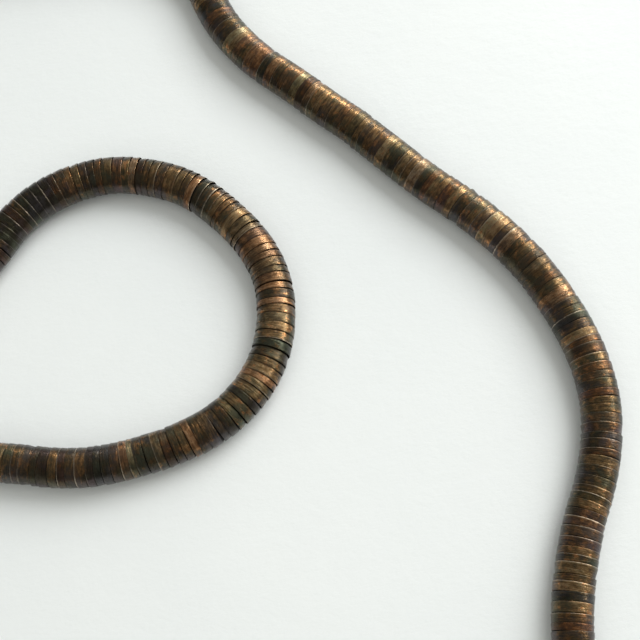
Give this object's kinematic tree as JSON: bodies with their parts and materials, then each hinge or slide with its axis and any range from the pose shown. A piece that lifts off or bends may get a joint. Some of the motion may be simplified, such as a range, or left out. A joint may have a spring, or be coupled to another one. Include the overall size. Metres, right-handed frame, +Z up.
{
  "type": "bendable ring chain",
  "caption": "Bendable snake chain of small flared copper rings, each nested loosely in the next, lying in an open S on a table, with a domed cap at each end.",
  "frame": {"origin": "on the table, under the centre of the bounding box of the chain as it lies", "axes": "+Z up, +Y along the longest way across the coil, the chain lies flat on the XY plane"},
  "size_m": [0.1404, 0.1858, 0.007],
  "materials": {
    "copper": "antique copper plate, polished on the rims and dark in the gaps"
  },
  "bodies": {
    "tail_cap": {"cap_tail": "copper"},
    "ring_run_01": {"ring_run_01": "copper"},
    "ring_run_02": {"ring_run_02": "copper"},
    "ring_run_03": {"ring_run_03": "copper"},
    "ring_run_04": {"ring_run_04": "copper"},
    "ring_run_05": {"ring_run_05": "copper"},
    "ring_run_06": {"ring_run_06": "copper"},
    "ring_run_07": {"ring_run_07": "copper"},
    "ring_run_08": {"ring_run_08": "copper"},
    "ring_run_09": {"ring_run_09": "copper"},
    "ring_run_10": {"ring_run_10": "copper"},
    "ring_run_11": {"ring_run_11": "copper"},
    "ring_run_12": {"ring_run_12": "copper"},
    "ring_run_13": {"ring_run_13": "copper"},
    "ring_run_14": {"ring_run_14": "copper"},
    "ring_run_15": {"ring_run_15": "copper"},
    "ring_run_16": {"ring_run_16": "copper"},
    "ring_run_17": {"ring_run_17": "copper"},
    "ring_run_18": {"ring_run_18": "copper"},
    "ring_run_19": {"ring_run_19": "copper"},
    "ring_run_20": {"ring_run_20": "copper"},
    "ring_run_21": {"ring_run_21": "copper"},
    "ring_run_22": {"ring_run_22": "copper"},
    "ring_run_23": {"ring_run_23": "copper"},
    "ring_run_24": {"ring_run_24": "copper"},
    "ring_run_25": {"ring_run_25": "copper"},
    "ring_run_26": {"ring_run_26": "copper"},
    "ring_run_27": {"ring_run_27": "copper"},
    "ring_run_28": {"ring_run_28": "copper"},
    "ring_run_29": {"ring_run_29": "copper"},
    "ring_run_30": {"ring_run_30": "copper"},
    "ring_run_31": {"ring_run_31": "copper"},
    "ring_run_32": {"ring_run_32": "copper"},
    "ring_run_33": {"ring_run_33": "copper"},
    "ring_run_34": {"ring_run_34": "copper"},
    "ring_run_35": {"ring_run_35": "copper"},
    "ring_run_36": {"ring_run_36": "copper"},
    "ring_run_37": {"ring_run_37": "copper"},
    "ring_run_38": {"ring_run_38": "copper"},
    "ring_run_39": {"ring_run_39": "copper"},
    "ring_run_40": {"ring_run_40": "copper"},
    "ring_run_41": {"ring_run_41": "copper"},
    "ring_run_42": {"ring_run_42": "copper"},
    "head_cap": {"cap_head": "copper"}
  },
  "joints": [
    {"name": "lift_01", "type": "hinge", "parent": "ring_run_02", "child": "ring_run_01", "pos_m": [-0.0527, -0.01061, 0.0035], "axis": [0.0395, 0.9992, 0], "range_deg": [0, 6.5]},
    {"name": "swing_02", "type": "hinge", "parent": "ring_run_03", "child": "ring_run_02", "pos_m": [-0.04079, -0.01199, 0.0035], "axis": [0, 0, 1], "range_deg": [-7.6, 5.4]},
    {"name": "lift_03", "type": "hinge", "parent": "ring_run_04", "child": "ring_run_03", "pos_m": [-0.02922, -0.01514, 0.0035], "axis": [0.323, 0.9464, 0], "range_deg": [0, 6.5]},
    {"name": "swing_04", "type": "hinge", "parent": "ring_run_05", "child": "ring_run_04", "pos_m": [-0.01751, -0.01759, 0.0035], "axis": [0, 0, 1], "range_deg": [-4.6, 8.4]},
    {"name": "lift_05", "type": "hinge", "parent": "ring_run_06", "child": "ring_run_05", "pos_m": [-0.00558, -0.0168, 0.0035], "axis": [-0.2011, 0.9796, 0], "range_deg": [0, 6.5]},
    {"name": "swing_06", "type": "hinge", "parent": "ring_run_07", "child": "ring_run_06", "pos_m": [0.00556, -0.01253, 0.0035], "axis": [0, 0, -1], "range_deg": [-10, 3]},
    {"name": "swing_07", "type": "hinge", "parent": "ring_run_08", "child": "ring_run_07", "pos_m": [0.01361, -0.00379, 0.0035], "axis": [0, 0, -1], "range_deg": [-10, 3]},
    {"name": "swing_08", "type": "hinge", "parent": "ring_run_09", "child": "ring_run_08", "pos_m": [0.0166, 0.00771, 0.0035], "axis": [0, 0, 1], "range_deg": [-3, 10]},
    {"name": "swing_09", "type": "hinge", "parent": "ring_run_10", "child": "ring_run_09", "pos_m": [0.01385, 0.01927, 0.0035], "axis": [0, 0, 1], "range_deg": [-3.4, 9.6]},
    {"name": "swing_10", "type": "hinge", "parent": "ring_run_11", "child": "ring_run_10", "pos_m": [0.00652, 0.02869, 0.0035], "axis": [0, 0, 1], "range_deg": [-3.9, 9.1]},
    {"name": "swing_11", "type": "hinge", "parent": "ring_run_12", "child": "ring_run_11", "pos_m": [-0.0037, 0.03485, 0.0035], "axis": [0, 0, -1], "range_deg": [-9.6, 3.4]},
    {"name": "swing_12", "type": "hinge", "parent": "ring_run_13", "child": "ring_run_12", "pos_m": [-0.01551, 0.03618, 0.0035], "axis": [0, 0, -1], "range_deg": [-10.1, 2.9]},
    {"name": "swing_13", "type": "hinge", "parent": "ring_run_14", "child": "ring_run_13", "pos_m": [-0.02652, 0.03173, 0.0035], "axis": [0, 0, -1], "range_deg": [-10.1, 2.9]},
    {"name": "swing_14", "type": "hinge", "parent": "ring_run_15", "child": "ring_run_14", "pos_m": [-0.03536, 0.02367, 0.0035], "axis": [0, 0, 1], "range_deg": [-11, 2]},
    {"name": "swing_15", "type": "hinge", "parent": "ring_run_16", "child": "ring_run_15", "pos_m": [-0.0468, 0.02073, 0.0035], "axis": [0, 0, 1], "range_deg": [-11, 2]},
    {"name": "swing_16", "type": "hinge", "parent": "ring_run_17", "child": "ring_run_16", "pos_m": [-0.05777, 0.02508, 0.0035], "axis": [0, 0, 1], "range_deg": [-11, 2]},
    {"name": "swing_17", "type": "hinge", "parent": "ring_run_18", "child": "ring_run_17", "pos_m": [-0.0641, 0.03505, 0.0035], "axis": [0, 0, -1], "range_deg": [-2, 11]},
    {"name": "swing_18", "type": "hinge", "parent": "ring_run_19", "child": "ring_run_18", "pos_m": [-0.06336, 0.04683, 0.0035], "axis": [0, 0, -1], "range_deg": [-4.2, 8.8]},
    {"name": "swing_19", "type": "hinge", "parent": "ring_run_20", "child": "ring_run_19", "pos_m": [-0.05894, 0.05799, 0.0035], "axis": [0, 0, -1], "range_deg": [-6.5, 6.5]},
    {"name": "swing_20", "type": "hinge", "parent": "ring_run_20", "child": "ring_run_21", "pos_m": [-0.05452, 0.06915, 0.0035], "axis": [0, 0, -1], "range_deg": [-6.5, 6.5]},
    {"name": "swing_21", "type": "hinge", "parent": "ring_run_21", "child": "ring_run_22", "pos_m": [-0.04989, 0.08021, 0.0035], "axis": [0, 0, -1], "range_deg": [-11.1, 1.9]},
    {"name": "swing_22", "type": "hinge", "parent": "ring_run_22", "child": "ring_run_23", "pos_m": [-0.04099, 0.08796, 0.0035], "axis": [0, 0, -1], "range_deg": [-11.1, 1.9]},
    {"name": "swing_23", "type": "hinge", "parent": "ring_run_23", "child": "ring_run_24", "pos_m": [-0.02921, 0.08899, 0.0035], "axis": [0, 0, 1], "range_deg": [-6.5, 6.5]},
    {"name": "swing_24", "type": "hinge", "parent": "ring_run_24", "child": "ring_run_25", "pos_m": [-0.01731, 0.0874, 0.0035], "axis": [0, 0, 1], "range_deg": [-6.5, 6.5]},
    {"name": "swing_25", "type": "hinge", "parent": "ring_run_25", "child": "ring_run_26", "pos_m": [-0.00542, 0.08582, 0.0035], "axis": [0, 0, 1], "range_deg": [-6.5, 6.5]},
    {"name": "swing_26", "type": "hinge", "parent": "ring_run_26", "child": "ring_run_27", "pos_m": [0.00588, 0.08221, 0.0035], "axis": [0, 0, -1], "range_deg": [-11, 2]},
    {"name": "swing_27", "type": "hinge", "parent": "ring_run_27", "child": "ring_run_28", "pos_m": [0.01305, 0.07283, 0.0035], "axis": [0, 0, -1], "range_deg": [-11, 2]},
    {"name": "swing_28", "type": "hinge", "parent": "ring_run_28", "child": "ring_run_29", "pos_m": [0.01636, 0.06132, 0.0035], "axis": [0, 0, -1], "range_deg": [-4.5, 8.5]},
    {"name": "swing_29", "type": "hinge", "parent": "ring_run_29", "child": "ring_run_30", "pos_m": [0.02241, 0.051, 0.0035], "axis": [0, 0, 1], "range_deg": [-8.5, 4.5]},
    {"name": "swing_30", "type": "hinge", "parent": "ring_run_30", "child": "ring_run_31", "pos_m": [0.03042, 0.04207, 0.0035], "axis": [0, 0, 1], "range_deg": [-6.4, 6.6]},
    {"name": "swing_31", "type": "hinge", "parent": "ring_run_31", "child": "ring_run_32", "pos_m": [0.03838, 0.03308, 0.0035], "axis": [0, 0, 1], "range_deg": [-6.3, 6.7]},
    {"name": "swing_32", "type": "hinge", "parent": "ring_run_32", "child": "ring_run_33", "pos_m": [0.04605, 0.02386, 0.0035], "axis": [0, 0, -1], "range_deg": [-6.9, 6.1]},
    {"name": "swing_33", "type": "hinge", "parent": "ring_run_33", "child": "ring_run_34", "pos_m": [0.05323, 0.01425, 0.0035], "axis": [0, 0, -1], "range_deg": [-7, 6]},
    {"name": "swing_34", "type": "hinge", "parent": "ring_run_34", "child": "ring_run_35", "pos_m": [0.05969, 0.00414, 0.0035], "axis": [0, 0, -1], "range_deg": [-7.6, 5.4]},
    {"name": "swing_35", "type": "hinge", "parent": "ring_run_35", "child": "ring_run_36", "pos_m": [0.06454, -0.00681, 0.0035], "axis": [0, 0, 1], "range_deg": [-4.9, 8.1]},
    {"name": "swing_36", "type": "hinge", "parent": "ring_run_36", "child": "ring_run_37", "pos_m": [0.06668, -0.01858, 0.0035], "axis": [0, 0, 1], "range_deg": [-4.3, 8.7]},
    {"name": "lift_37", "type": "hinge", "parent": "ring_run_37", "child": "ring_run_38", "pos_m": [0.06529, -0.03045, 0.0035], "axis": [-0.9636, 0.2672, 0], "range_deg": [0, 6.5]},
    {"name": "swing_38", "type": "hinge", "parent": "ring_run_38", "child": "ring_run_39", "pos_m": [0.06037, -0.04135, 0.0035], "axis": [0, 0, -1], "range_deg": [-6.9, 6.1]},
    {"name": "lift_39", "type": "hinge", "parent": "ring_run_39", "child": "ring_run_40", "pos_m": [0.05484, -0.05198, 0.0035], "axis": [-0.9282, 0.3722, 0], "range_deg": [0, 6.5]},
    {"name": "swing_40", "type": "hinge", "parent": "ring_run_40", "child": "ring_run_41", "pos_m": [0.05149, -0.06348, 0.0035], "axis": [0, 0, -1], "range_deg": [-5.1, 7.9]},
    {"name": "lift_41", "type": "hinge", "parent": "ring_run_41", "child": "ring_run_42", "pos_m": [0.05045, -0.07542, 0.0035], "axis": [-0.9999, -0.0113, 0], "range_deg": [0, 6.5]},
    {"name": "twist_tail_cap", "type": "hinge", "parent": "ring_run_01", "child": "tail_cap", "pos_m": [-0.06468, -0.01104, 0.0035], "axis": [-0.9948, -0.1021, 0], "continuous": true},
    {"name": "twist_head_cap", "type": "hinge", "parent": "ring_run_42", "child": "head_cap", "pos_m": [0.05176, -0.08733, 0.0035], "axis": [0.1942, -0.981, 0], "continuous": true}
  ]
}
